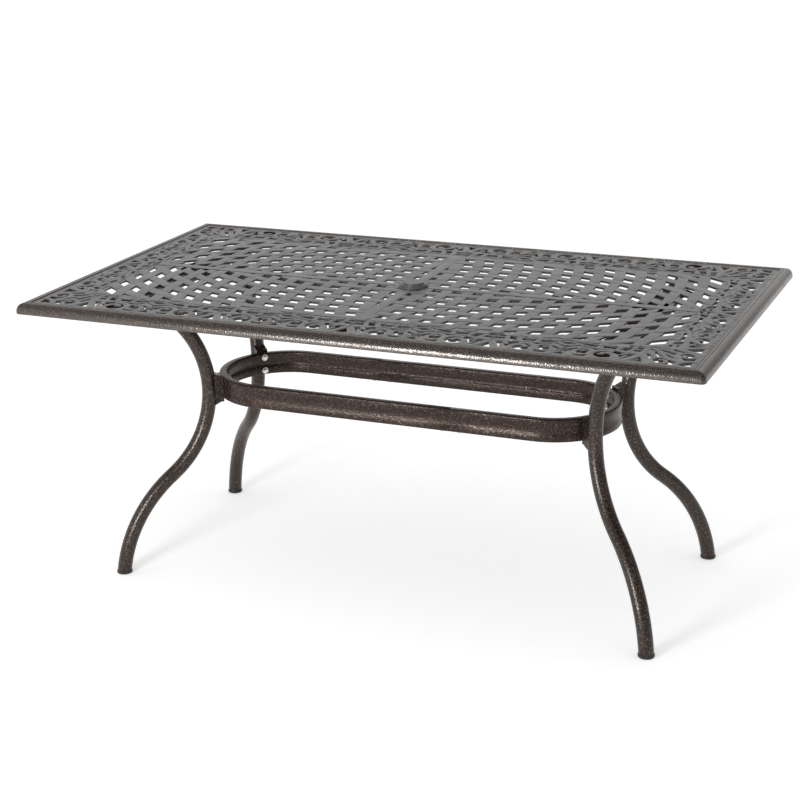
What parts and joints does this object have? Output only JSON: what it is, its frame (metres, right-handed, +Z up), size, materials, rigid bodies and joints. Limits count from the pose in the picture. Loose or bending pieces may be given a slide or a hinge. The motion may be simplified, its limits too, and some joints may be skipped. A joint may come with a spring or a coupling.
{
  "type": "umbrella table",
  "caption": "Rectangular patio table with a woven lattice top, bent tube legs bolted to an oval stretcher ring, and an umbrella hole closed by a plug.",
  "frame": {"origin": "on the floor below the centre of the umbrella hole, in the plane of the foot caps' undersides", "axes": "+X along the table's length, +Y across its width, +Z up"},
  "size_m": [1.7, 0.966, 0.763],
  "materials": {
    "cast_bronze": "cast aluminium, dark bronze powder coat with a satin sheen",
    "hammered_bronze": "extruded aluminium, dark bronze coat with a fine hammered copper fleck",
    "bronze_plastic": "moulded plastic, dark bronze, satin",
    "dark_plastic": "moulded plastic, matt",
    "bright_steel": "zinc plated",
    "bare_aluminium": "mill finish"
  },
  "bodies": {
    "table": {"lattice_top": "cast_bronze", "rim_rail_front": "hammered_bronze", "rim_rail_right": "hammered_bronze", "rim_rail_back": "hammered_bronze", "rim_rail_left": "hammered_bronze", "cross_brace_left": "hammered_bronze", "cross_brace_right": "hammered_bronze", "spine_brace_right": "hammered_bronze", "spine_brace_left": "hammered_bronze", "middle_brace_back": "hammered_bronze", "middle_brace_front": "hammered_bronze", "umbrella_hub": "hammered_bronze", "ring_half_right": "hammered_bronze", "ring_half_left": "hammered_bronze", "leg_front_left": "hammered_bronze", "leg_front_right": "hammered_bronze", "leg_back_right": "hammered_bronze", "leg_back_left": "hammered_bronze", "leg_plate_front_left": "hammered_bronze", "leg_plate_front_right": "hammered_bronze", "leg_plate_back_right": "hammered_bronze", "leg_plate_back_left": "hammered_bronze", "ring_bracket_front_left": "hammered_bronze", "ring_bracket_front_right": "hammered_bronze", "ring_bracket_back_right": "hammered_bronze", "ring_bracket_back_left": "hammered_bronze", "foot_cap_front_left": "dark_plastic", "foot_cap_front_right": "dark_plastic", "foot_cap_back_right": "dark_plastic", "foot_cap_back_left": "dark_plastic", "ring_bolts": "bright_steel", "ring_bolt_washers": "bright_steel", "leg_bolts": "bright_steel", "leg_bolt_washers": "bright_steel", "leg_bolt_inserts": "bright_steel", "sleeve_screws": "bright_steel", "ring_sleeve_front": "bare_aluminium", "ring_sleeve_back": "bare_aluminium"},
    "umbrella_ring": {"umbrella_ring": "bronze_plastic"},
    "umbrella_cap": {"umbrella_cap": "bronze_plastic"}
  },
  "joints": [
    {"name": "umbrella_ring_lift", "type": "slide", "parent": "table", "child": "umbrella_ring", "axis": [0, 0, 1], "range_m": [0, 0.06]},
    {"name": "umbrella_cap_lift", "type": "slide", "parent": "umbrella_ring", "child": "umbrella_cap", "axis": [0, 0, 1], "range_m": [0, 0.03]}
  ]
}
